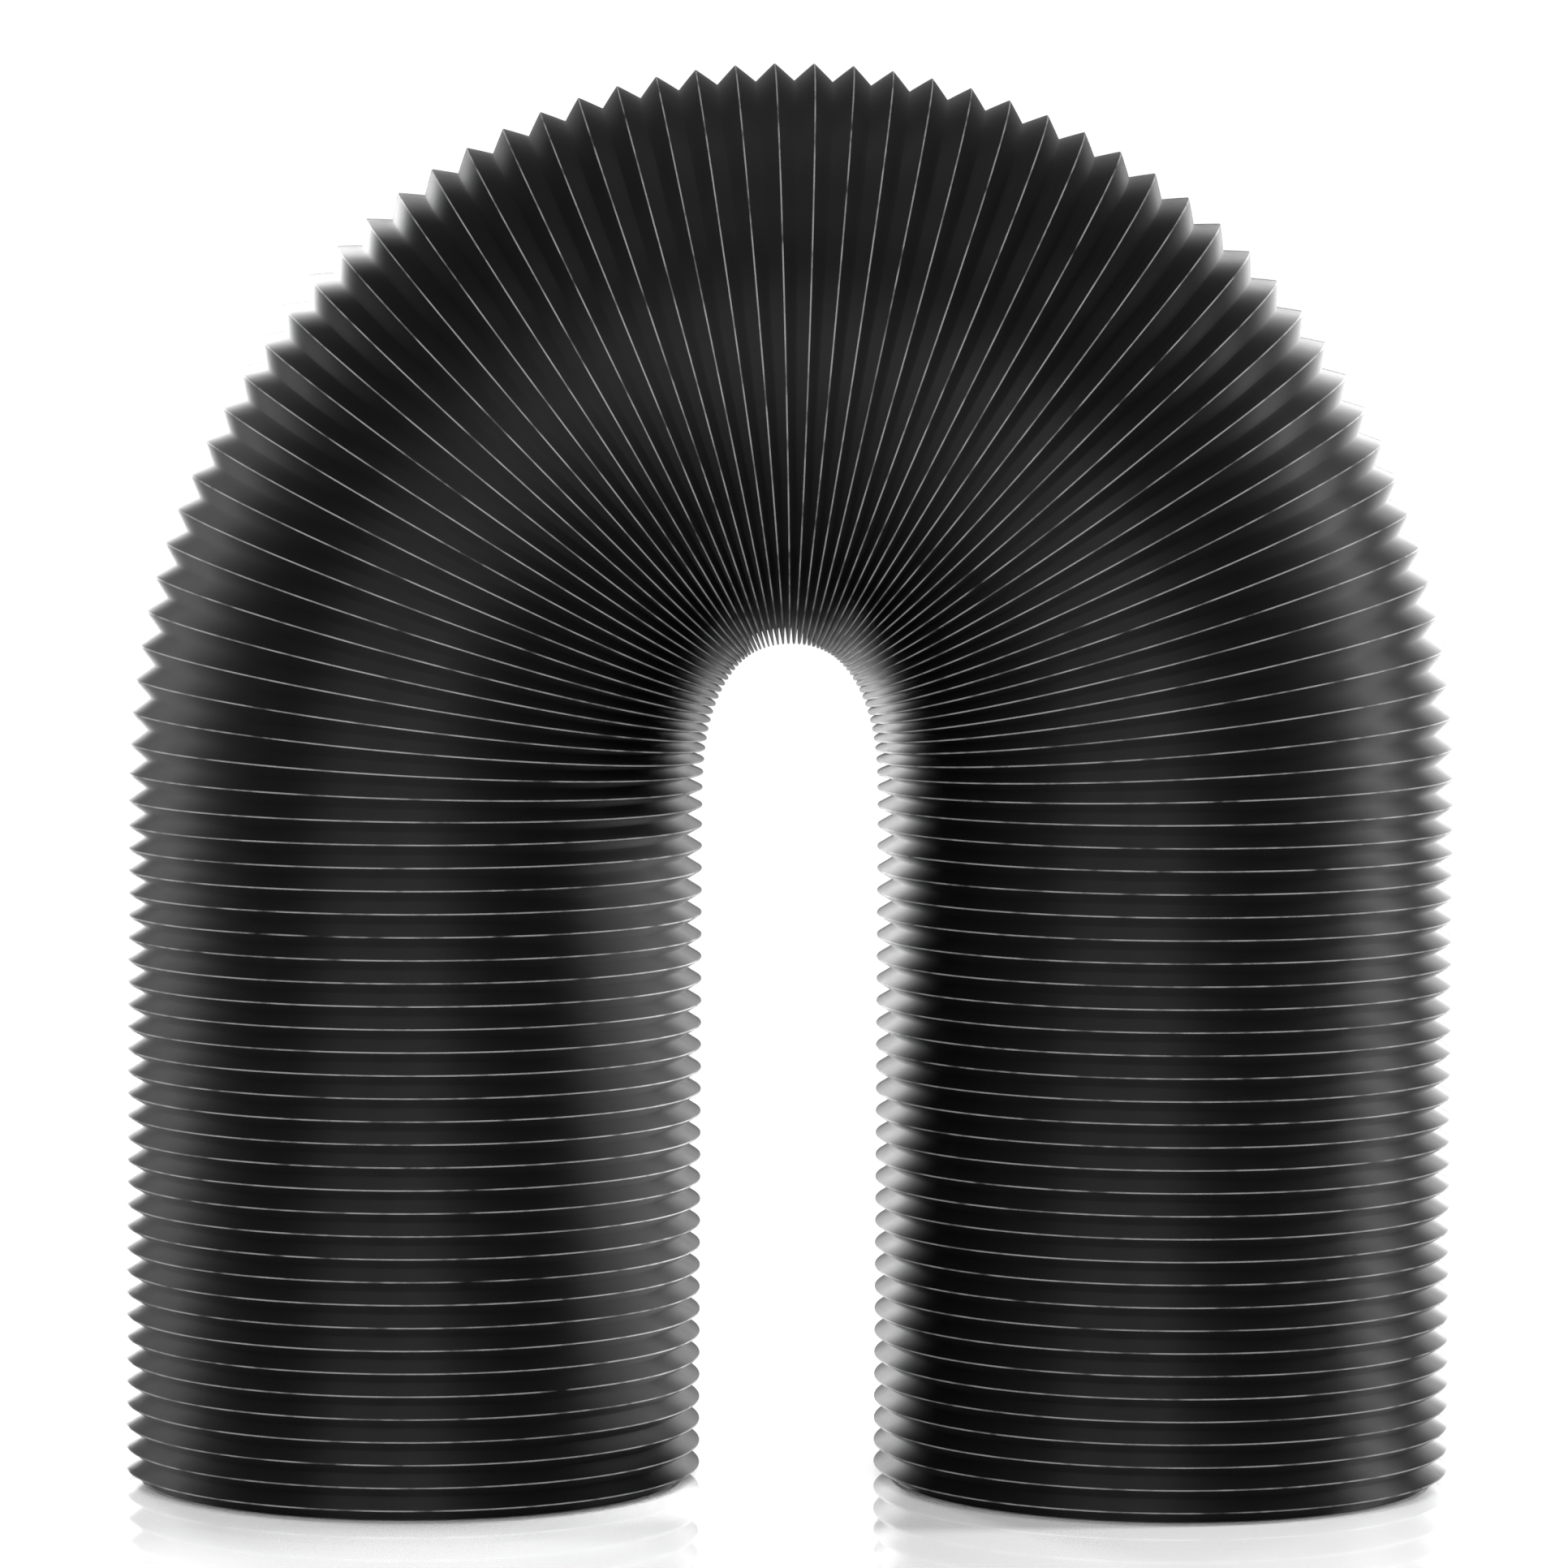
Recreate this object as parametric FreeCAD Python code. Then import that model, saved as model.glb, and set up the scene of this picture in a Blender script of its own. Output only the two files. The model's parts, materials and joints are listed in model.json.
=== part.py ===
import FreeCAD, Part
import math
import os

# Pleated flexible air duct, bent into an upright arch that stands on its two cut ends.
#
# Millimetres, +Z up. The origin is on the floor, midway between the two legs. The arch lies in
# the XZ plane, with the left leg on -X. Stations count half pleats along the centreline from the
# left cut end: even stations are valleys, odd stations are crests.

# Driving dimensions
BORE_RADIUS = 101.6             # smallest inner radius, at the valleys: an 8 inch duct
PLEAT_DEPTH = 6.3               # valley to crest, on the outside
COVER_THICKNESS = 0.2           # black outer ply
LINER_THICKNESS = 0.12          # metal foil inner ply
BOND_GAP = 0.04                 # adhesive film between the two plies at a valley
WIRE_DIAMETER = 0.6             # steel hoop in each crest
WIRE_CLEARANCE = 0.02           # hoop to either ply
VALLEY_LAND = 0.5               # width of the flat at the bottom of a valley, outside
CLOSED_CREST_GAP = 0.25         # left between neighbouring crests where the arch is tightest
SEAM_GAP = 0.1                  # between the plies of two neighbouring duct lengths

# Pleats in each length of duct, from a cut end to the top of its leg, and on to the crown
LEG_PLEATS = (10, 10, 9)
HALF_ARCH_PLEATS = (6, 5, 5, 5, 5, 5)

# How sharply the duct bends: degrees turned by one pleat, at a distance in pleats from the crown
TURN_AT_CROWN = 3.35
PEAK_TURN = 3.75
PEAK_TURN_AT = 10
TURN_AT_HAUNCH = 2.35
HAUNCH_AT = 26
HALF_BEND = 90.0                # degrees that each half of the arch turns through

# Sizes that follow
HALF_PLEATS = sum(LEG_PLEATS) + sum(HALF_ARCH_PLEATS)
CROWN_STATION = 2 * HALF_PLEATS
LAST_STATION = 2 * CROWN_STATION
COVER_VALLEY_RADIUS = BORE_RADIUS + LINER_THICKNESS + BOND_GAP + COVER_THICKNESS
CREST_RADIUS = COVER_VALLEY_RADIUS + PLEAT_DEPTH
CREST_HALF_WIDTH = WIRE_DIAMETER / 2 + WIRE_CLEARANCE + COVER_THICKNESS
WIRE_RADIUS = CREST_RADIUS - COVER_THICKNESS - WIRE_CLEARANCE - WIRE_DIAMETER / 2


def relative_turn(pleats_from_crown):
    """Turn of one pleat at a distance from the crown, before it is scaled to the whole bend."""
    knots = (
        (0.0, TURN_AT_CROWN),
        (PEAK_TURN_AT, PEAK_TURN),
        (HAUNCH_AT, TURN_AT_HAUNCH),
        (sum(HALF_ARCH_PLEATS), 0.0),
    )
    for (start, turn_a), (end, turn_b) in zip(knots, knots[1:]):
        if pleats_from_crown <= end:
            share = (pleats_from_crown - start) / (end - start)
            return turn_a + (turn_b - turn_a) * share
    return 0.0


def half_pleat_turns():
    """Degrees turned between each station and the next, along the whole duct."""
    middles = [abs(station + 0.5 - CROWN_STATION) / 2 for station in range(LAST_STATION)]
    turns = [relative_turn(middle) for middle in middles]
    scale = 2 * HALF_BEND / sum(turns)
    return [turn * scale for turn in turns]


TURNS = half_pleat_turns()

# The pitch on the centreline is the one that leaves the crests just apart where the bend is sharpest
PITCH = (
    CREST_RADIUS * math.radians(2 * max(TURNS))
    + 2 * CREST_HALF_WIDTH
    + CLOSED_CREST_GAP
)


def centreline():
    """(x, z, heading) at each station; heading is 90 going straight up and -90 straight down."""
    x, z, heading = 0.0, 0.0, HALF_BEND
    stations = [(x, z, heading)]
    for turn in TURNS:
        chord = math.radians(heading - turn / 2)
        x += PITCH / 2 * math.cos(chord)
        z += PITCH / 2 * math.sin(chord)
        heading -= turn
        stations.append((x, z, heading))
    span = stations[-1][0]
    return [(x - span / 2, z, heading) for x, z, heading in stations]


STATIONS = centreline()


def ply_rings(first, last, valley_radius, valley_half, crest_radius, crest_half):
    """(station, offset along the duct, radius) of the rings that bound one side of a ply."""
    start_gap = SEAM_GAP / 2 if first > 0 else 0.0
    end_gap = SEAM_GAP / 2 if last < LAST_STATION else 0.0
    rings = [(first, start_gap, valley_radius), (first, valley_half, valley_radius)]
    for crest in range(first + 1, last, 2):
        rings.append((crest, -crest_half, crest_radius))
        rings.append((crest, crest_half, crest_radius))
        rings.append((crest + 1, -valley_half, valley_radius))
        if crest + 1 < last:
            rings.append((crest + 1, valley_half, valley_radius))
    rings.append((last, -end_gap, valley_radius))
    return rings


def placed(shape, station, offset):
    """A shape made about +Z at the origin, moved on to the centreline at a station."""
    x, z, heading = STATIONS[station]
    along = math.radians(heading)
    place = FreeCAD.Vector(x + offset * math.cos(along), 0, z + offset * math.sin(along))
    turn = FreeCAD.Rotation(FreeCAD.Vector(0, 1, 0), HALF_BEND - heading)
    moved = shape.copy()
    moved.Placement = FreeCAD.Placement(place, turn)
    return moved


def ring_wire(station, offset, radius):
    return placed(Part.Wire(Part.makeCircle(radius)), station, offset)


def solid_from(faces):
    shell = Part.Shell(faces)
    shell.sewShape()
    solid = Part.Solid(shell)
    if solid.Volume < 0:
        solid.reverse()
    return solid


def bent_ply(outside, inside):
    """A ply on the bend: ruled faces between rings whose planes fan out with the centreline."""
    outer_wires = [ring_wire(*ring) for ring in outside]
    inner_wires = [ring_wire(*ring) for ring in inside]
    faces = Part.makeLoft(outer_wires, False, True).Faces
    faces += Part.makeLoft(inner_wires, False, True).Faces
    faces.append(Part.Face([outer_wires[0], inner_wires[0]]))
    faces.append(Part.Face([outer_wires[-1], inner_wires[-1]]))
    return solid_from(faces)


def straight_ply(outside, inside):
    """A ply in a leg: its section turned about the leg's axis."""
    leg_x = STATIONS[outside[0][0]][0]
    loop = []
    for station, offset, radius in outside + inside[::-1]:
        z = STATIONS[station][1]
        up = 1 if station < CROWN_STATION else -1
        loop.append(FreeCAD.Vector(leg_x + radius, 0, z + up * offset))
    face = Part.Face(Part.makePolygon(loop + loop[:1]))
    axis_point = FreeCAD.Vector(leg_x, 0, 0)
    return face.revolve(axis_point, FreeCAD.Vector(0, 0, 1), 360)


def ply(first, last, outer_radii, outer_halves, inner_radii, inner_halves):
    outside = ply_rings(first, last, outer_radii[0], outer_halves[0], outer_radii[1], outer_halves[1])
    inside = ply_rings(first, last, inner_radii[0], inner_halves[0], inner_radii[1], inner_halves[1])
    straight = max(TURNS[first:last]) == 0.0
    return straight_ply(outside, inside) if straight else bent_ply(outside, inside)


def cover(first, last):
    """The black outer ply, folded over the hoops."""
    return ply(
        first, last,
        (COVER_VALLEY_RADIUS, CREST_RADIUS),
        (VALLEY_LAND / 2, CREST_HALF_WIDTH),
        (COVER_VALLEY_RADIUS - COVER_THICKNESS, CREST_RADIUS - COVER_THICKNESS),
        (VALLEY_LAND / 2 + COVER_THICKNESS, CREST_HALF_WIDTH - COVER_THICKNESS),
    )


def liner(first, last):
    """The foil inner ply, bonded in the valleys and passing under the hoops."""
    valley_half = VALLEY_LAND / 2 + COVER_THICKNESS + BOND_GAP
    crest_half = CREST_HALF_WIDTH - COVER_THICKNESS - BOND_GAP
    crest_radius = WIRE_RADIUS - WIRE_DIAMETER / 2 - WIRE_CLEARANCE
    return ply(
        first, last,
        (BORE_RADIUS + LINER_THICKNESS, crest_radius),
        (valley_half, crest_half),
        (BORE_RADIUS, crest_radius - LINER_THICKNESS),
        (valley_half + LINER_THICKNESS, crest_half - LINER_THICKNESS),
    )


def hoops(first, last):
    """One closed steel hoop in each crest."""
    hoop = Part.makeTorus(WIRE_RADIUS, WIRE_DIAMETER / 2)
    return Part.makeCompound([placed(hoop, crest, 0.0) for crest in range(first + 1, last, 2)])


def duct_lengths():
    """(name, first station, last station) of each length, from the left cut end to the right."""
    half = [f"left_leg_{i + 1}" for i in range(len(LEG_PLEATS))]
    half += [f"left_arch_{i + 1}" for i in range(len(HALF_ARCH_PLEATS))]
    lengths = []
    station = 0
    for name, pleats in zip(half, LEG_PLEATS + HALF_ARCH_PLEATS):
        lengths.append((name, station, station + 2 * pleats))
        station += 2 * pleats
    mirrored = [
        (name.replace("left", "right"), LAST_STATION - last, LAST_STATION - first)
        for name, first, last in reversed(lengths)
    ]
    return lengths + mirrored


def main():
    os.makedirs("parts", exist_ok=True)
    for name, first, last in duct_lengths():
        cover(first, last).exportStep(f"parts/{name}_cover.step")
        liner(first, last).exportStep(f"parts/{name}_liner.step")
        hoops(first, last).exportStep(f"parts/{name}_hoops.step")
    print(f"pitch {PITCH:.3f}, leg axes at {STATIONS[-1][0]:.2f}, crown centre {STATIONS[CROWN_STATION][1]:.2f}")


main()
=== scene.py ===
import json
import math

import bmesh
import bpy
from mathutils import Matrix, Vector
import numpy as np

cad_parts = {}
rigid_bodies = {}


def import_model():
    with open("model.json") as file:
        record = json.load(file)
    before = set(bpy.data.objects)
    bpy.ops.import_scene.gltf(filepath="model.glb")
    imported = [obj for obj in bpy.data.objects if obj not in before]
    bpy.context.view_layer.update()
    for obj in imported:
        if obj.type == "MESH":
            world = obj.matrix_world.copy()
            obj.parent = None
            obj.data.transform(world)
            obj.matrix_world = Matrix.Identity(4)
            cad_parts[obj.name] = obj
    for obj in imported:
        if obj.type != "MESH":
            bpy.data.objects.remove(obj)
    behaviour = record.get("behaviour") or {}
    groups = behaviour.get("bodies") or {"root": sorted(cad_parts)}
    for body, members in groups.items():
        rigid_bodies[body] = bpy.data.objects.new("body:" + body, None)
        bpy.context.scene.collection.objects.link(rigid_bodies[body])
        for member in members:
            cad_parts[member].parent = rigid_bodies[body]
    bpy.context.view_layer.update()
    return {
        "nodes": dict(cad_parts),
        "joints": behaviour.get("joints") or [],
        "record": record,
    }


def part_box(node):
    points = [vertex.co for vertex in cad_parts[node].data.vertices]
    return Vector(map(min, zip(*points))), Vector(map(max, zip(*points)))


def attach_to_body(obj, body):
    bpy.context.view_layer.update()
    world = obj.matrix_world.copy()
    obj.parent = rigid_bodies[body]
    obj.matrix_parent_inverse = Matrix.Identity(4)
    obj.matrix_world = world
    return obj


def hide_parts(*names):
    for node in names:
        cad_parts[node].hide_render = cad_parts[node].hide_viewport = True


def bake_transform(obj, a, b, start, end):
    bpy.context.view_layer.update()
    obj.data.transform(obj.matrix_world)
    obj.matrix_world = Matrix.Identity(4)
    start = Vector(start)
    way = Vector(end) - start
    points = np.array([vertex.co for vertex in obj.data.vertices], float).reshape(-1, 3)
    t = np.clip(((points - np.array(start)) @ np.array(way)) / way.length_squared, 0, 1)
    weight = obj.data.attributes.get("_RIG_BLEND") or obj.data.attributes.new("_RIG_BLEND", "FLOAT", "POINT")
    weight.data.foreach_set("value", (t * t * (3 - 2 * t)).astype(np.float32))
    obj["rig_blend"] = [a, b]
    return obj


# Pleated flexible air duct, bent into an arch that stands on its two cut ends.
#
# The black cover, the foil liner and the steel hoops are rebuilt as fine meshes around the packed
# frame. Every size that the frame holds is read from it: the hoops of the frame say where each
# crest is, and the record says how wide the bore is. Metres, +Z up.

bl_info = {
    "name": "Pleated Air Duct",
    "version": (1, 0, 0),
    "blender": (4, 5, 0),
    "location": "View3D > Sidebar > Air Duct",
    "description": "Builds a pleated flexible air duct around its packed frame",
    "category": "Add Mesh",
}

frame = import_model()

MM = 0.001
BEND_WEIGHTS = "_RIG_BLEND"
ALONG = "along_duct"            # station of each point, in half pleats from the left cut end
CREST = "crest_painted_highlight"            # 1 on the fold over a hoop, where the crest colour paints a highlight; 0 elsewhere
SOFT = "soft_fold"              # 1 on the face of a ply whose folds are shaded as soft ones


# ---------------------------------------------------------------------------------------------
# What the frame says
# ---------------------------------------------------------------------------------------------

def chain_of_bodies():
    """Body names from the left cut end to the right, by following the joints from the root."""
    child_of = {joint["parent"]: joint["child"] for joint in frame["joints"]}
    names = [(set(child_of) - set(child_of.values())).pop()]
    while names[-1] in child_of:
        names.append(child_of[names[-1]])
    return names


def hoop_centres(node):
    """Centre of each hoop in a node of the frame, found from a merged copy of its mesh."""
    copy = bmesh.new()
    copy.from_mesh(frame["nodes"][node].data)
    bmesh.ops.remove_doubles(copy, verts=copy.verts, dist=0.01 * MM)
    centres = []
    seen = set()
    for start in copy.verts:
        if start in seen:
            continue
        seen.add(start)
        island = [start]
        for vert in island:
            for edge in vert.link_edges:
                other = edge.other_vert(vert)
                if other not in seen:
                    seen.add(other)
                    island.append(other)
        low = Vector(min(v.co[i] for v in island) for i in range(3))
        high = Vector(max(v.co[i] for v in island) for i in range(3))
        centres.append((low + high) / 2)
    copy.free()
    return centres


class Centreline:
    """Places along the duct. A station counts half pleats, so odd stations are crests."""

    def __init__(self):
        self.bodies = chain_of_bodies()
        self.ends = {}
        crests = []
        for body in self.bodies:
            first = 2 * len(crests)
            crests += self.in_order(hoop_centres(f"{body}_hoops"), crests)
            self.ends[body] = (first, 2 * len(crests))
        self.last = 2 * len(crests)
        self.points = self.with_valleys(crests)
        self.headings = self.directions()

    @staticmethod
    def in_order(centres, before):
        """The hoops of one body, nearest first from the last one before them."""
        at = before[-1] if before else Vector((-1.0, 0.0, 0.0))
        ordered = []
        left = list(centres)
        while left:
            nearest = min(left, key=lambda centre: (centre - at).length)
            left.remove(nearest)
            ordered.append(nearest)
            at = nearest
        return ordered

    @staticmethod
    def with_valleys(crests):
        points = [Vector((crests[0].x, 0.0, 0.0))]
        for crest, following in zip(crests, crests[1:]):
            points += [crest, (crest + following) / 2]
        return points + [crests[-1], Vector((crests[-1].x, 0.0, 0.0))]

    def directions(self):
        """Direction of travel at each station, as an angle about Y: 0 is up, pi is down."""
        steps = [b - a for a, b in zip(self.points, self.points[1:])]
        angles = [math.atan2(step.x, step.z) for step in steps]
        middles = [(a + b) / 2 for a, b in zip(angles, angles[1:])]
        return [0.0] + middles + [math.pi]

    def place(self, station, offset=0.0):
        """Matrix of the plane across the duct at a station: local Z runs along the duct and
        local -X points to the outside of the bend."""
        low = min(int(station), self.last - 1)
        share = station - low
        point = self.points[low].lerp(self.points[low + 1], share)
        heading = self.headings[low] * (1 - share) + self.headings[low + 1] * share
        turn = Matrix.Rotation(heading, 4, "Y")
        return Matrix.Translation(point) @ turn @ Matrix.Translation((0.0, 0.0, offset))


LINE = Centreline()
BORES = [mount for mount in frame["record"]["mounts"] if mount["kind"] == "bore"]
BORE_RADIUS = BORES[0]["dims"]["r_mm"] * MM
FOOT_LOW, FOOT_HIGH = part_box(f"{LINE.bodies[0]}_cover")
CREST_RADIUS = (FOOT_HIGH.x - FOOT_LOW.x) / 2
HOOP_LOW, HOOP_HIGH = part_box(f"{LINE.bodies[0]}_hoops")
HOOP_OUTSIDE = (HOOP_HIGH.x - HOOP_LOW.x) / 2


# ---------------------------------------------------------------------------------------------
# Sizes and finishes that a user may change
# ---------------------------------------------------------------------------------------------

class DuctSizes(bpy.types.PropertyGroup):
    sides: bpy.props.IntProperty(
        name="Sides", description="Straight sides that stand for each ring of the duct",
        default=144, min=24)
    cover_thickness: bpy.props.FloatProperty(
        name="Cover thickness", description="Thickness of the black outer ply",
        default=0.2 * MM, unit="LENGTH", precision=5)
    liner_thickness: bpy.props.FloatProperty(
        name="Liner thickness", description="Thickness of the foil inner ply",
        default=0.12 * MM, unit="LENGTH", precision=5)
    wire_diameter: bpy.props.FloatProperty(
        name="Wire diameter", description="Diameter of the steel wire in each crest",
        default=0.56 * MM, unit="LENGTH", precision=5)
    crest_width: bpy.props.FloatProperty(
        name="Crest width", description="Width of the rounded fold over each hoop",
        default=0.64 * MM, unit="LENGTH", precision=5)
    crest_rounding: bpy.props.FloatProperty(
        name="Crest rounding", description="How far the fold falls away at its edges",
        default=0.16 * MM, unit="LENGTH", precision=5)
    valley_width: bpy.props.FloatProperty(
        name="Valley width", description="Width of the fold at the bottom of each valley",
        default=0.24 * MM, unit="LENGTH", precision=5)
    fold_softness: bpy.props.FloatProperty(
        name="Fold softness", description="How far light runs over a pleat as if it were round",
        default=0.85, min=0.0, max=1.0)
    foot_pleats: bpy.props.IntProperty(
        name="Foot pleats", description="Pleats at each cut end that keep their shape on a collar",
        default=1, min=1)


class DuctFinish(bpy.types.PropertyGroup):
    cover_colour: bpy.props.FloatVectorProperty(
        name="Cover", description="Colour of the black film", subtype="COLOR", size=3,
        default=(0.0005, 0.0005, 0.00055), min=0.0, max=1.0)
    # Crest colour: a painted highlight along the fold over each hoop, paler than the black film.
    crest_highlight_colour: bpy.props.FloatVectorProperty(
        name="Crest wear", description="Colour of the stretched film over the hoops",
        subtype="COLOR", size=3, default=(0.045, 0.045, 0.046), min=0.0, max=1.0)
    foil_colour: bpy.props.FloatVectorProperty(
        name="Foil", description="Colour of the foil liner", subtype="COLOR", size=3,
        default=(0.80, 0.81, 0.82), min=0.0, max=1.0)
    wire_colour: bpy.props.FloatVectorProperty(
        name="Wire", description="Colour of the hoop wire", subtype="COLOR", size=3,
        default=(0.42, 0.43, 0.44), min=0.0, max=1.0)
    floor_colour: bpy.props.FloatVectorProperty(
        name="Floor", description="Colour of the studio floor", subtype="COLOR", size=3,
        default=(0.60, 0.60, 0.60), min=0.0, max=1.0)


class StudioSettings(bpy.types.PropertyGroup):
    focal_length: bpy.props.FloatProperty(
        name="Focal length", description="Camera's focal length, in millimetres on a 36 mm sensor",
        default=157.4)
    distance: bpy.props.FloatProperty(
        name="Distance", description="Camera to the middle of the duct", default=2.574,
        unit="LENGTH")
    aim: bpy.props.FloatVectorProperty(
        name="Aim", description="Point in the middle of the picture", subtype="TRANSLATION",
        size=3, default=(-0.0023, 0.0, 0.2611), precision=4)
    azimuth: bpy.props.FloatProperty(
        name="Azimuth", description="Camera's place round the duct", unit="ROTATION",
        default=math.radians(-0.86))
    elevation: bpy.props.FloatProperty(
        name="Elevation", description="Camera's height above the horizon", unit="ROTATION",
        default=math.radians(4.12))
    roll: bpy.props.FloatProperty(
        name="Roll", description="Camera's lean to one side", unit="ROTATION",
        default=math.radians(0.32))
    sky: bpy.props.FloatProperty(
        name="Sky", description="Brightness of the white surroundings", default=1.05)
    light_gain: bpy.props.FloatProperty(
        name="Light gain", description="Brightness of all the strip and overhead lights",
        default=1.5, min=0.0)
    floor_gap: bpy.props.FloatProperty(
        name="Floor gap", description="How far the springy cut edges hold the duct off the floor",
        default=0.7 * MM, unit="LENGTH", precision=5)


# ---------------------------------------------------------------------------------------------
# Materials
# ---------------------------------------------------------------------------------------------

class Value:
    """A socket that can be used in sums: each operator adds its Math node."""

    def __init__(self, shader, socket):
        self.shader = shader
        self.socket = socket

    def maths(self, operation, *others):
        node = self.shader.node("ShaderNodeMath", {"operation": operation}, {})
        for index, item in enumerate((self, *others)):
            self.shader.feed(node.inputs[index], item)
        return Value(self.shader, node.outputs[0])

    def __add__(self, other):
        return self.maths("ADD", other)

    __radd__ = __add__

    def __mul__(self, other):
        return self.maths("MULTIPLY", other)

    __rmul__ = __mul__

    def __sub__(self, other):
        return self.maths("SUBTRACT", other)

    def __rsub__(self, other):
        return (self * -1.0).maths("ADD", other)


class Shader:
    """One material's node tree."""

    def __init__(self, name):
        self.material = bpy.data.materials.new(name)
        self.material.use_nodes = True
        self.tree = self.material.node_tree
        self.tree.nodes.clear()

    def feed(self, socket, item):
        if isinstance(item, Value):
            self.tree.links.new(item.socket, socket)
        elif isinstance(item, bpy.types.NodeSocket):
            self.tree.links.new(item, socket)
        else:
            socket.default_value = item

    def node(self, kind, settings, sockets):
        """A node of a kind, with its settings set first and then its sockets' values or links."""
        node = self.tree.nodes.new(kind)
        for name, setting in settings.items():
            setattr(node, name, setting)
        for name, item in sockets.items():
            self.feed(node.inputs[name], item)
        return node

    def position(self):
        return self.node("ShaderNodeTexCoord", {}, {}).outputs["Object"]

    def noise(self, scale, detail=4.0, roughness=0.5):
        sockets = {
            "Vector": self.position(), "Scale": scale, "Detail": detail, "Roughness": roughness,
        }
        return Value(self, self.node("ShaderNodeTexNoise", {}, sockets).outputs["Fac"])

    def ramp(self, value, low, high):
        """0 below low, 1 above high, and smooth between."""
        settings = {"interpolation_type": "SMOOTHSTEP", "clamp": True}
        sockets = {"Value": value, "From Min": low, "From Max": high}
        return Value(self, self.node("ShaderNodeMapRange", settings, sockets).outputs["Result"])

    def attribute(self, name):
        settings = {"attribute_type": "GEOMETRY", "attribute_name": name}
        return Value(self, self.node("ShaderNodeAttribute", settings, {}).outputs["Fac"])

    def mix(self, factor, low, high):
        """A colour between two colours."""
        node = self.node("ShaderNodeMix", {"data_type": "RGBA"}, {})
        self.feed(node.inputs[0], factor)
        self.feed(node.inputs[6], low)
        self.feed(node.inputs[7], high)
        return node.outputs[2]

    def bump(self, height, strength, distance):
        sockets = {"Height": height, "Strength": strength, "Distance": distance}
        return self.node("ShaderNodeBump", {}, sockets).outputs["Normal"]

    def finish(self, sockets):
        surface = self.node("ShaderNodeBsdfPrincipled", {}, sockets)
        self.node("ShaderNodeOutputMaterial", {}, {"Surface": surface.outputs[0]})
        return self.material


def rgba(colour):
    return (*colour, 1.0)


def black_film(finish):
    """Satin black film: a fine calendered grain, faint handling marks, a painted highlight over the hoops.
    """
    shader = Shader("black_film")
    grain = shader.noise(2600.0, 3.0, 0.6)
    handling = shader.noise(38.0, 5.0, 0.6)
    # Painted highlight: the crest colour paints a pale line along the fold over each hoop, broken up by
    # noise.
    painted_highlight = shader.attribute(CREST) * shader.ramp(shader.noise(90.0, 3.0), 0.2, 0.62)
    dust = shader.ramp(handling, 0.52, 0.8) * 0.35
    dusty = rgba([c * 2.4 for c in finish.cover_colour])
    film = shader.mix(dust, rgba(finish.cover_colour), dusty)
    return shader.finish({
        # The crest colour mixed in here is a painted highlight, not a colour of the film.
        "Base Color": shader.mix(painted_highlight, film, rgba(finish.crest_highlight_colour)),
        "Roughness": 0.36 + handling * 0.14 - painted_highlight * 0.06,
        "Specular IOR Level": 0.02,
        "Normal": shader.bump(grain * 0.7 + handling * 0.6, 0.12, 0.05 * MM),
    })


def foil(finish):
    """Crinkled aluminium foil with a dull lamination haze."""
    shader = Shader("foil_laminate")
    crinkle = shader.noise(420.0, 6.0, 0.68)
    dents = shader.noise(60.0, 3.0, 0.5)
    haze = shader.ramp(dents, 0.4, 0.75) * 0.3
    dull = rgba([c * 0.72 for c in finish.foil_colour])
    return shader.finish({
        "Base Color": shader.mix(haze, rgba(finish.foil_colour), dull),
        "Metallic": 1.0,
        "Roughness": 0.22 + haze * 0.5 + crinkle * 0.12,
        "Normal": shader.bump(crinkle + dents * 0.8, 0.55, 0.12 * MM),
    })


def wire(finish):
    """Drawn spring steel with faint drawing lines and a little bloom."""
    shader = Shader("spring_wire")
    lines = shader.noise(900.0, 2.0, 0.5)
    bloom = shader.ramp(shader.noise(120.0, 4.0), 0.5, 0.8)
    dark = rgba([c * 0.6 for c in finish.wire_colour])
    return shader.finish({
        "Base Color": shader.mix(bloom * 0.4, rgba(finish.wire_colour), dark),
        "Metallic": 1.0,
        "Roughness": 0.28 + bloom * 0.2,
        "Normal": shader.bump(lines, 0.2, 0.03 * MM),
    })


def floor_finish(finish):
    """White gloss studio floor."""
    shader = Shader("gloss_floor")
    scuffs = shader.noise(4.0, 3.0)
    return shader.finish({
        "Base Color": rgba(finish.floor_colour),
        "Metallic": 0.55,
        "Roughness": 0.04 + scuffs * 0.02,
    })


# ---------------------------------------------------------------------------------------------
# Pleated pieces
# ---------------------------------------------------------------------------------------------

BOND_GAP = 0.04 * MM            # adhesive film between the plies, at a valley
CREST_TOP = 0.6                 # share of a crest's width that is near its full height
CREST_TOP_DROP = 0.3            # share of a crest's rounding that is left at that width
COVER_INNER_FOLD = 0.13 * MM    # more half width in a valley on the cover's hidden face
COVER_INNER_DEPTH = 2.2         # cover thicknesses from the crest to the hidden face below it
HOOP_DEPTH = 2.4                # cover thicknesses from the crest to the wire below it
LINER_DEPTH = 0.92 * MM         # outside of the hoops to the liner's crest
LINER_FOLD = 0.26 * MM          # more half width in a valley on the liner's inside
LINER_CREST_HALF = 0.11 * MM    # half width of the liner's crest on the inside
LINER_BACK_HALF = 0.13 * MM     # half width of the liner's crest on its hidden face
LINER_BACK_STEP = 0.1 * MM      # thickness of the liner at a crest
WIRE_SIDES = 6
SHARP_EDGE = math.radians(35)


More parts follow.
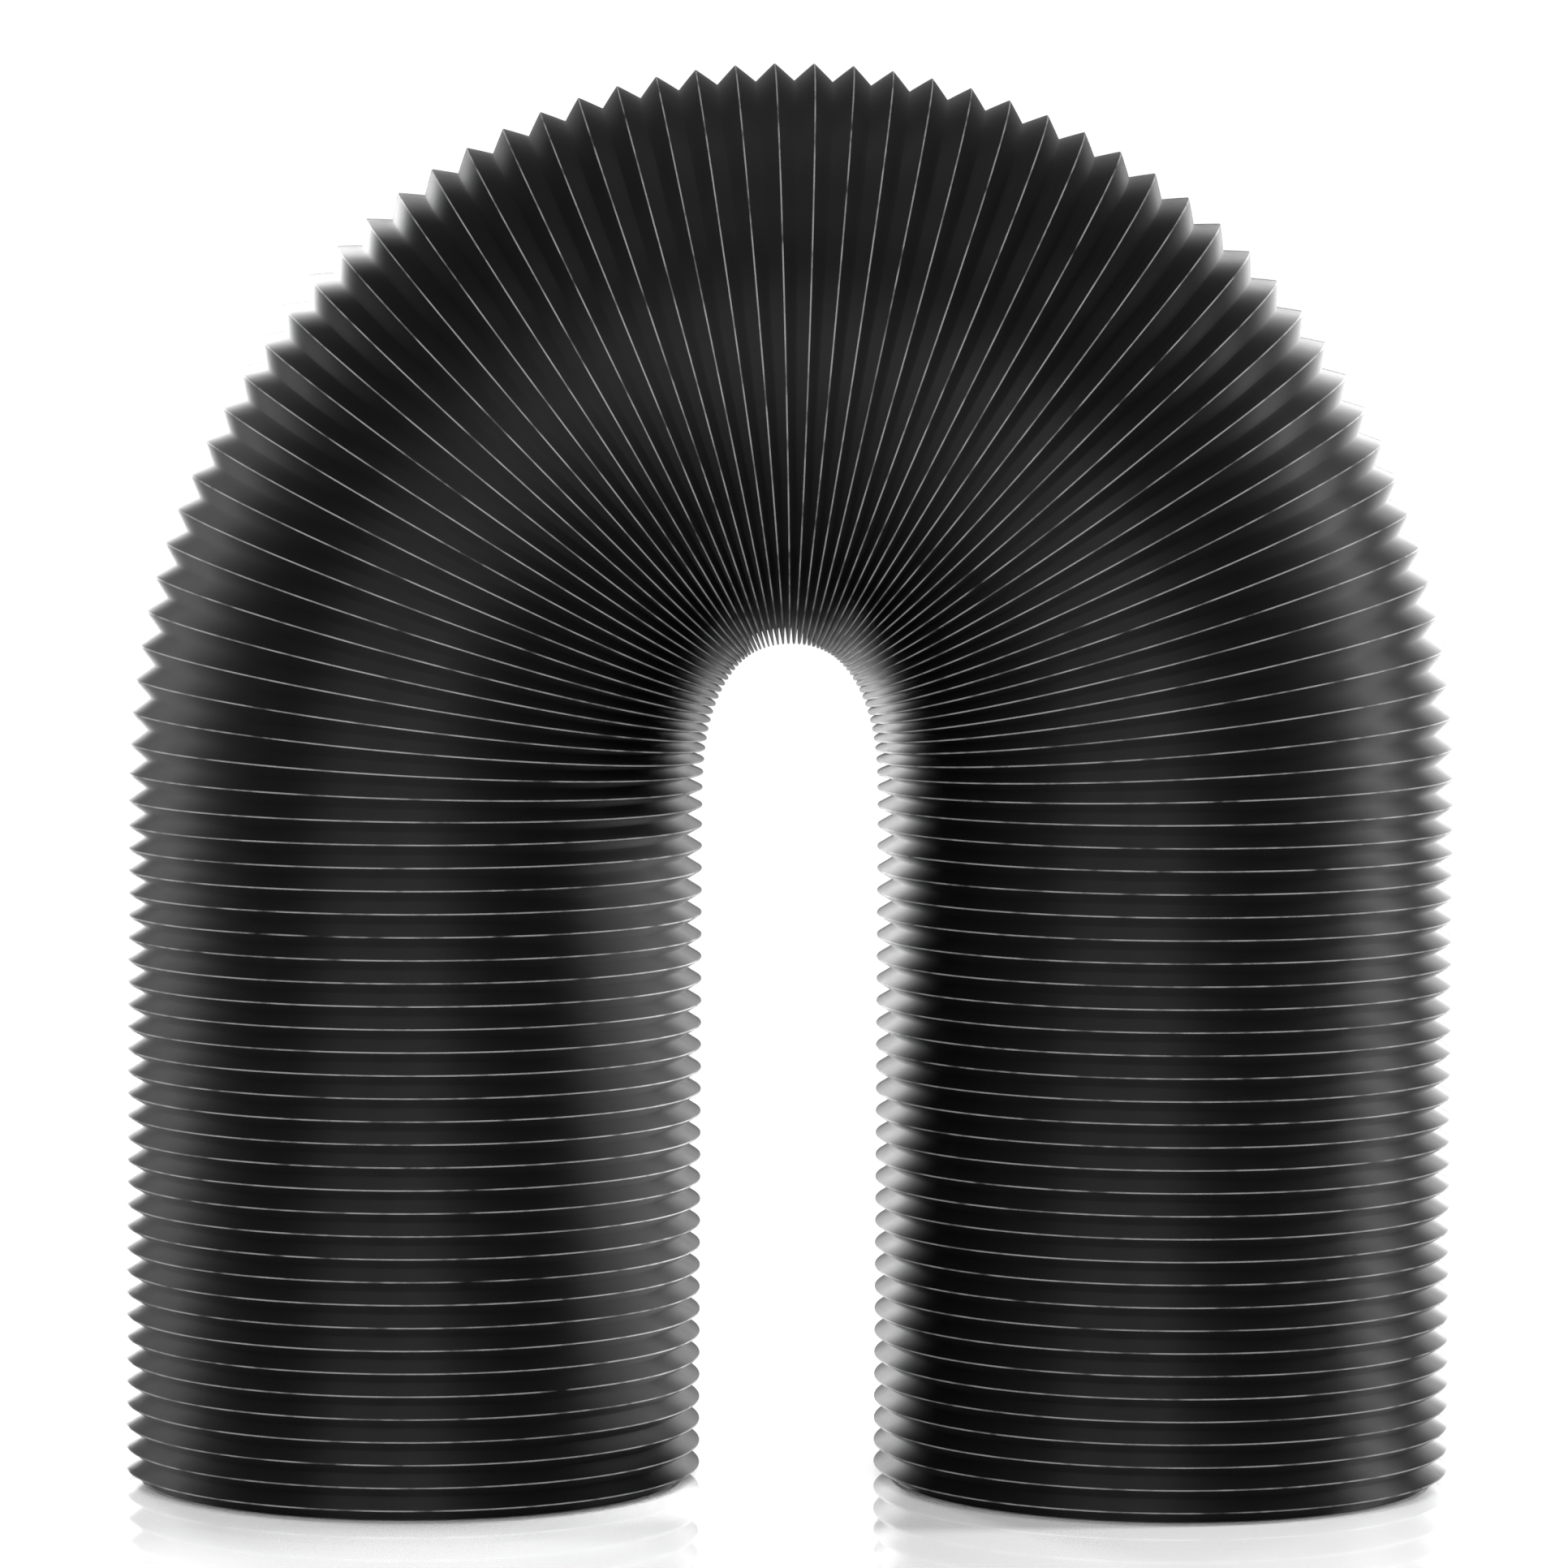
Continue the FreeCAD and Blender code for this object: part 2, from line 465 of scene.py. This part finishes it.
class Ring:
    """One ring of a pleated wall."""

    def __init__(self, station, offset, radius, painted_highlight=0.0):
        self.station = station
        self.offset = offset
        self.radius = radius
        # share of the painted crest highlight on this ring
        self.painted_highlight = painted_highlight
        self.soft = 0.0

    def matrix(self):
        across = Matrix.Diagonal((self.radius, self.radius, 1.0, 1.0))
        return LINE.place(self.station, self.offset) @ across


def mark(mesh, verts, station, painted_highlight=0.0, soft=0.0):
    """Notes on each point how far along the duct it is, what kind of fold it is on, and its share of the
    painted crest highlight.
    """
    notes = {ALONG: station, CREST: painted_highlight, SOFT: soft}
    for name, note in notes.items():
        layer = mesh.verts.layers.float[name]
        for vert in verts:
            vert[layer] = note


def new_mesh():
    mesh = bmesh.new()
    for name in (ALONG, CREST, SOFT):
        mesh.verts.layers.float.new(name)
    return mesh


def extrude_ring(mesh, edges, before, after):
    """Extrudes a ring of edges on to the next ring, and returns the new ring's edges."""
    made = bmesh.ops.extrude_edge_only(mesh, edges=edges)["geom"]
    verts = [item for item in made if isinstance(item, bmesh.types.BMVert)]
    step = after.matrix() @ before.matrix().inverted()
    bmesh.ops.transform(mesh, matrix=step, verts=verts)
    mark(mesh, verts, after.station, after.painted_highlight, after.soft)
    on_ring = set(verts)
    return [
        item for item in made
        if isinstance(item, bmesh.types.BMEdge) and on_ring.issuperset(item.verts)
    ]


def pleated_wall(rings, sides):
    """A closed wall through rings that run out along one face and back along the other."""
    mesh = new_mesh()
    first = bmesh.ops.create_circle(
        mesh, segments=sides, radius=1.0, matrix=rings[0].matrix())["verts"]
    mark(mesh, first, rings[0].station, rings[0].painted_highlight, rings[0].soft)
    start = mesh.edges[:]
    edges = start
    for before, after in zip(rings, rings[1:]):
        edges = extrude_ring(mesh, edges, before, after)
    bmesh.ops.bridge_loops(mesh, edges=edges + start)
    bmesh.ops.recalc_face_normals(mesh, faces=mesh.faces)
    return mesh


def face_of_wall(first, last, valley, crest_profile):
    """Rings along one face of a ply between two valleys. valley is (half width, radius), and
    crest_profile lists (offset, radius, share of the painted highlight) across a crest."""
    valley_half, valley_radius = valley
    rings = [Ring(first, 0.0, valley_radius), Ring(first, valley_half, valley_radius)]
    low_offset, shoulder, _ = crest_profile[0]
    high_offset = crest_profile[-1][0]
    for crest in range(first + 1, last, 2):
        for share in (1 / 3, 2 / 3):
            radius = valley_radius + share * (shoulder - valley_radius)
            offset = valley_half + share * (low_offset - valley_half)
            rings.append(Ring(crest - 1 + share, offset, radius))
        rings += [Ring(crest, offset, radius, painted_highlight) for offset, radius, painted_highlight in crest_profile]
        for share in (2 / 3, 1 / 3):
            radius = valley_radius + share * (shoulder - valley_radius)
            offset = -valley_half + share * (high_offset + valley_half)
            rings.append(Ring(crest + 1 - share, offset, radius))
        rings.append(Ring(crest + 1, -valley_half, valley_radius))
        if crest + 1 < last:
            rings.append(Ring(crest + 1, valley_half, valley_radius))
    rings.append(Ring(last, 0.0, valley_radius))
    return rings


def plain_face(first, last, valley, crest):
    """Rings along the hidden face of a ply, with nothing between its folds."""
    valley_half, valley_radius = valley
    crest_half, crest_radius = crest
    rings = [Ring(first, 0.0, valley_radius)]
    for station in range(first + 1, last, 2):
        rings.append(Ring(station - 1, valley_half, valley_radius))
        rings.append(Ring(station, -crest_half, crest_radius))
        rings.append(Ring(station, crest_half, crest_radius))
        rings.append(Ring(station + 1, -valley_half, valley_radius))
    rings.append(Ring(last, 0.0, valley_radius))
    return rings


def cover_wall(first, last, sizes):
    half = sizes.crest_width / 2
    shoulder = CREST_RADIUS - sizes.crest_rounding
    near_top = CREST_RADIUS - sizes.crest_rounding * CREST_TOP_DROP
    # Third number of each ring: share of the painted highlight that the crest colour puts along the top of
    # the fold.
    profile = (
        (-half, shoulder, 0.0), (-half * CREST_TOP, near_top, 1.0), (0.0, CREST_RADIUS, 1.0),
        (half * CREST_TOP, near_top, 1.0), (half, shoulder, 0.0),
    )
    valley_inside = BORE_RADIUS + sizes.liner_thickness + BOND_GAP
    valley = (sizes.valley_width / 2, valley_inside + sizes.cover_thickness)
    inner_valley = (sizes.valley_width / 2 + COVER_INNER_FOLD, valley_inside)
    inner_crest = (half * CREST_TOP, CREST_RADIUS - COVER_INNER_DEPTH * sizes.cover_thickness)
    outside = face_of_wall(first, last, valley, profile)
    for ring in outside:
        ring.soft = sizes.fold_softness
    inside = plain_face(first, last, inner_valley, inner_crest)
    return pleated_wall(outside + inside[::-1], sizes.sides)


def liner_wall(first, last, sizes):
    crest_radius = HOOP_OUTSIDE - LINER_DEPTH
    fold = sizes.valley_width / 2 + LINER_FOLD
    profile = ((-LINER_CREST_HALF, crest_radius, 0.0), (LINER_CREST_HALF, crest_radius, 0.0))
    inside = face_of_wall(first, last, (fold, BORE_RADIUS), profile)
    outer_valley = (fold - BOND_GAP, BORE_RADIUS + sizes.liner_thickness)
    outer_crest = (LINER_BACK_HALF, crest_radius + LINER_BACK_STEP)
    outside = plain_face(first, last, outer_valley, outer_crest)
    return pleated_wall(outside + inside[::-1], sizes.sides)


def hoop_row(first, last, sizes):
    """One closed steel hoop in each crest between two valleys."""
    mesh = new_mesh()
    radius = CREST_RADIUS - HOOP_DEPTH * sizes.cover_thickness - sizes.wire_diameter / 2
    along = mesh.verts.layers.float[ALONG]
    for crest in range(first + 1, last, 2):
        place = LINE.place(crest)
        across = Matrix.Translation((radius, 0.0, 0.0)) @ Matrix.Rotation(math.pi / 2, 4, "X")
        section = bmesh.ops.create_circle(
            mesh, segments=WIRE_SIDES, radius=sizes.wire_diameter / 2,
            matrix=place @ across)["verts"]
        edges = list({edge for vert in section for edge in vert.link_edges})
        bmesh.ops.spin(
            mesh, geom=section + edges, cent=place.translation, axis=place.to_3x3().col[2],
            angle=2 * math.pi, steps=2 * sizes.sides // 3, use_merge=True)
        mark(mesh, [vert for vert in mesh.verts if vert[along] == 0.0], crest)
    bmesh.ops.recalc_face_normals(mesh, faces=mesh.faces)
    return mesh


def stretches():
    """(first station, last station, body, next body or None) of each stretch of the duct.

    A stretch crosses one joint: it follows one body at its start and the next at its end, so two
    stretches meet inside a body. The two cut ends stay with their own body.
    """
    bodies = LINE.bodies
    half = bodies[:len(bodies) // 2]
    legs = [body for body in half if "_leg_" in body]
    foot = 2 * bpy.context.scene.duct_sizes.foot_pleats
    lean_low, lean_high = LINE.ends[half[len(legs)]]
    lean_start = lean_low - (lean_high - lean_low) // 2
    cuts = [foot]
    for share in range(1, len(legs) - 1):
        cuts.append(2 * round((foot + share * (lean_start - foot) / (len(legs) - 1)) / 2 + 0.01))
    cuts += [lean_start, (lean_low + lean_high) // 2]
    cuts += [2 * ((sum(LINE.ends[body]) + 3) // 4) for body in half[len(legs) + 1:]]
    cuts += [LINE.last - cut for cut in reversed(cuts)]
    found = [(0, cuts[0], bodies[0], None)]
    found += list(zip(cuts, cuts[1:], bodies, bodies[1:]))
    return found + [(cuts[-1], LINE.last, bodies[-1], None)]


def attach(piece, stretch, kind):
    """Makes a piece follow its body, or bend evenly between its two bodies, pleat by pleat."""
    first, last, body, following = stretch
    if following is None:
        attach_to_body(piece, body)
        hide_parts(f"{body}_{kind}")
        return
    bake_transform(piece, body, following, LINE.place(first).translation, LINE.place(last).translation)
    along = piece.data.attributes[ALONG].data
    for point, weight in zip(along, piece.data.attributes[BEND_WEIGHTS].data):
        weight.value = (point.value - first) / (last - first)
    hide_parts(f"{body}_{kind}", f"{following}_{kind}")


def soften_folds(data):
    """Turns the shading normals of soft folds towards the outside of the duct. The film is drawn
    taut over its hoops, so a highlight runs over its pleats in one band along the duct."""
    frames = {}
    normals = []
    stations = data.attributes[ALONG].data
    softness = data.attributes[SOFT].data
    for vert, station, soft in zip(data.vertices, stations, softness):
        if soft.value == 0.0:
            normals.append((0.0, 0.0, 0.0))
            continue
        if station.value not in frames:
            place = LINE.place(station.value)
            frames[station.value] = (place.translation, place.to_3x3().col[2])
        centre, axis = frames[station.value]
        outward = vert.co - centre
        outward = (outward - axis * outward.dot(axis)).normalized()
        normals.append(vert.normal.lerp(outward, soft.value).normalized())
    data.normals_split_custom_set_from_vertices(normals)


def build_layer(kind, build_mesh, material):
    """Builds one layer of the duct, stretch by stretch from the left cut end to the right."""
    sizes = bpy.context.scene.duct_sizes
    for number, stretch in enumerate(stretches(), 1):
        mesh = build_mesh(stretch[0], stretch[1], sizes)
        data = bpy.data.meshes.new(f"{kind}_{number:02d}")
        mesh.to_mesh(data)
        mesh.free()
        data.shade_smooth()
        data.set_sharp_from_angle(angle=SHARP_EDGE)
        if any(point.value > 0.0 for point in data.attributes[SOFT].data):
            soften_folds(data)
        data.materials.append(material)
        piece = bpy.data.objects.new(data.name, data)
        bpy.context.scene.collection.objects.link(piece)
        attach(piece, stretch, kind)


# ---------------------------------------------------------------------------------------------
# Stage
# ---------------------------------------------------------------------------------------------

# Strip lights that stand round the duct: azimuth in degrees from the camera's side, then watts.
STRIP_LIGHTS = (
    (-150, 26.0), (-120, 5.0), (-105, 16.0), (-90, 4.5), (-30, 16.0), (-15, 9.5),
    (0, 21.0), (15, 3.0), (90, 56.0), (135, 10.5), (150, 9.0),
)
STRIP_ELEVATION = 8.0
STRIP_DISTANCE = 1.3
STRIP_SIZE = (0.2, 1.1)
# Overhead panels: elevation in degrees, size in metres, watts.
OVERHEAD_LIGHTS = ((88.0, (0.8, 0.8), 9.8), (60.0, (1.2, 0.3), 12.4))
OVERHEAD_DISTANCE = 1.5
LIGHT_AIM = Vector((0.0, 0.0, 0.26))


# A narrow light between the legs, facing the left leg's inner side: place, size, watts, back.
INNER_PLACE = Vector((-0.01, -0.057, 0.13))
INNER_SIZE = (0.074, 0.22)
INNER_POWER = 0.6
INNER_BACK = Vector((1.0, 0.0, 0.0))
FLOOR_RADIUS = 1.25


def soft_box(name, place, back, size, power):
    """A rectangular light that faces away from one direction, kept out of the picture."""
    light = bpy.data.lights.new(name, "AREA")
    light.shape = "RECTANGLE"
    light.size, light.size_y = size
    light.energy = power
    box = bpy.data.objects.new(name, light)
    box.location = place
    box.rotation_euler = back.to_track_quat("Z", "Y").to_euler()
    box.visible_camera = False
    bpy.context.scene.collection.objects.link(box)


def aimed_box(name, azimuth, elevation, distance, size, power):
    """A studio light that faces the middle of the duct, placed by its angles in degrees."""
    turn, rise = math.radians(azimuth), math.radians(elevation)
    back = Vector((
        math.sin(turn) * math.cos(rise), -math.cos(turn) * math.cos(rise), math.sin(rise),
    ))
    soft_box(name, LIGHT_AIM + back * distance, back, size, power)


def studio_lights(gain):
    for azimuth, power in STRIP_LIGHTS:
        name = f"strip_light_{azimuth % 360:03d}"
        aimed_box(name, azimuth, STRIP_ELEVATION, STRIP_DISTANCE, STRIP_SIZE, power * gain)
    for elevation, size, power in OVERHEAD_LIGHTS:
        name = f"overhead_light_{elevation:.0f}"
        aimed_box(name, 0.0, elevation, OVERHEAD_DISTANCE, size, power * gain)
    soft_box("inner_light", INNER_PLACE, INNER_BACK, INNER_SIZE, INNER_POWER * gain)


def white_sky(strength):
    world = bpy.data.worlds.new("white_studio")
    world.use_nodes = True
    background = world.node_tree.nodes["Background"]
    background.inputs["Color"].default_value = (1.0, 1.0, 1.0, 1.0)
    background.inputs["Strength"].default_value = strength
    bpy.context.scene.world = world


def studio_floor(settings, material):
    mesh = bmesh.new()
    low = Matrix.Translation((0.0, 0.0, -settings.floor_gap))
    bmesh.ops.create_circle(mesh, cap_ends=True, segments=96, radius=FLOOR_RADIUS, matrix=low)
    data = bpy.data.meshes.new("studio_floor")
    mesh.to_mesh(data)
    mesh.free()
    data.materials.append(material)
    floor = bpy.data.objects.new("studio_floor", data)
    bpy.context.scene.collection.objects.link(floor)


def studio_camera(settings):
    lens = bpy.data.cameras.new("studio_camera")
    lens.sensor_width = 36.0
    lens.lens = settings.focal_length
    lens.clip_end = 100.0
    azimuth, elevation, roll = settings.azimuth, settings.elevation, settings.roll
    back = Vector((
        math.sin(azimuth) * math.cos(elevation),
        -math.cos(azimuth) * math.cos(elevation),
        math.sin(elevation),
    ))
    level = Vector((math.cos(azimuth), math.sin(azimuth), 0.0))
    camera = bpy.data.objects.new("studio_camera", lens)
    upright = Matrix((level, back.cross(level), back)).transposed().to_4x4()
    place = Matrix.Translation(Vector(settings.aim) + back * settings.distance)
    camera.matrix_world = place @ upright @ Matrix.Rotation(roll, 4, "Z")
    bpy.context.scene.collection.objects.link(camera)
    bpy.context.scene.camera = camera


# ---------------------------------------------------------------------------------------------
# Operators and panel
# ---------------------------------------------------------------------------------------------

class BuildCover(bpy.types.Operator):
    """Build the black outer ply"""
    bl_idname = "duct.build_cover"
    bl_label = "Cover"

    def execute(self, context):
        build_layer("cover", cover_wall, black_film(context.scene.duct_finish))
        return {"FINISHED"}


class BuildLiner(bpy.types.Operator):
    """Build the foil inner ply"""
    bl_idname = "duct.build_liner"
    bl_label = "Liner"

    def execute(self, context):
        build_layer("liner", liner_wall, foil(context.scene.duct_finish))
        return {"FINISHED"}


class BuildHoops(bpy.types.Operator):
    """Build the steel hoops that hold the crests round"""
    bl_idname = "duct.build_hoops"
    bl_label = "Hoops"

    def execute(self, context):
        build_layer("hoops", hoop_row, wire(context.scene.duct_finish))
        return {"FINISHED"}


class BuildStage(bpy.types.Operator):
    """Set up the floor, the lights and the camera"""
    bl_idname = "duct.build_stage"
    bl_label = "Stage"

    def execute(self, context):
        settings = context.scene.duct_studio
        context.scene.view_settings.view_transform = "Standard"
        white_sky(settings.sky)
        studio_lights(settings.light_gain)
        studio_floor(settings, floor_finish(context.scene.duct_finish))
        studio_camera(settings)
        return {"FINISHED"}


BUILDERS = (BuildCover, BuildLiner, BuildHoops, BuildStage)


class DuctPanel(bpy.types.Panel):
    bl_idname = "VIEW3D_PT_air_duct"
    bl_label = "Pleated Air Duct"
    bl_space_type = "VIEW_3D"
    bl_region_type = "UI"
    bl_category = "Air Duct"

    def draw(self, context):
        layout = self.layout
        scene = context.scene
        for settings in (scene.duct_sizes, scene.duct_finish, scene.duct_studio):
            for name in settings.bl_rna.properties.keys():
                if name not in ("rna_type", "name"):
                    layout.prop(settings, name)
        for builder in BUILDERS:
            layout.operator(builder.bl_idname)


SETTINGS = {"duct_sizes": DuctSizes, "duct_finish": DuctFinish, "duct_studio": StudioSettings}


def register():
    for cls in (*SETTINGS.values(), *BUILDERS, DuctPanel):
        bpy.utils.register_class(cls)
    for name, cls in SETTINGS.items():
        setattr(bpy.types.Scene, name, bpy.props.PointerProperty(type=cls))


def unregister():
    for name in SETTINGS:
        delattr(bpy.types.Scene, name)
    for cls in (DuctPanel, *BUILDERS, *SETTINGS.values()):
        bpy.utils.unregister_class(cls)


def main():
    register()
    bpy.ops.duct.build_cover()
    bpy.ops.duct.build_liner()
    bpy.ops.duct.build_hoops()
    bpy.ops.duct.build_stage()


if __name__ == "__main__":
    main()
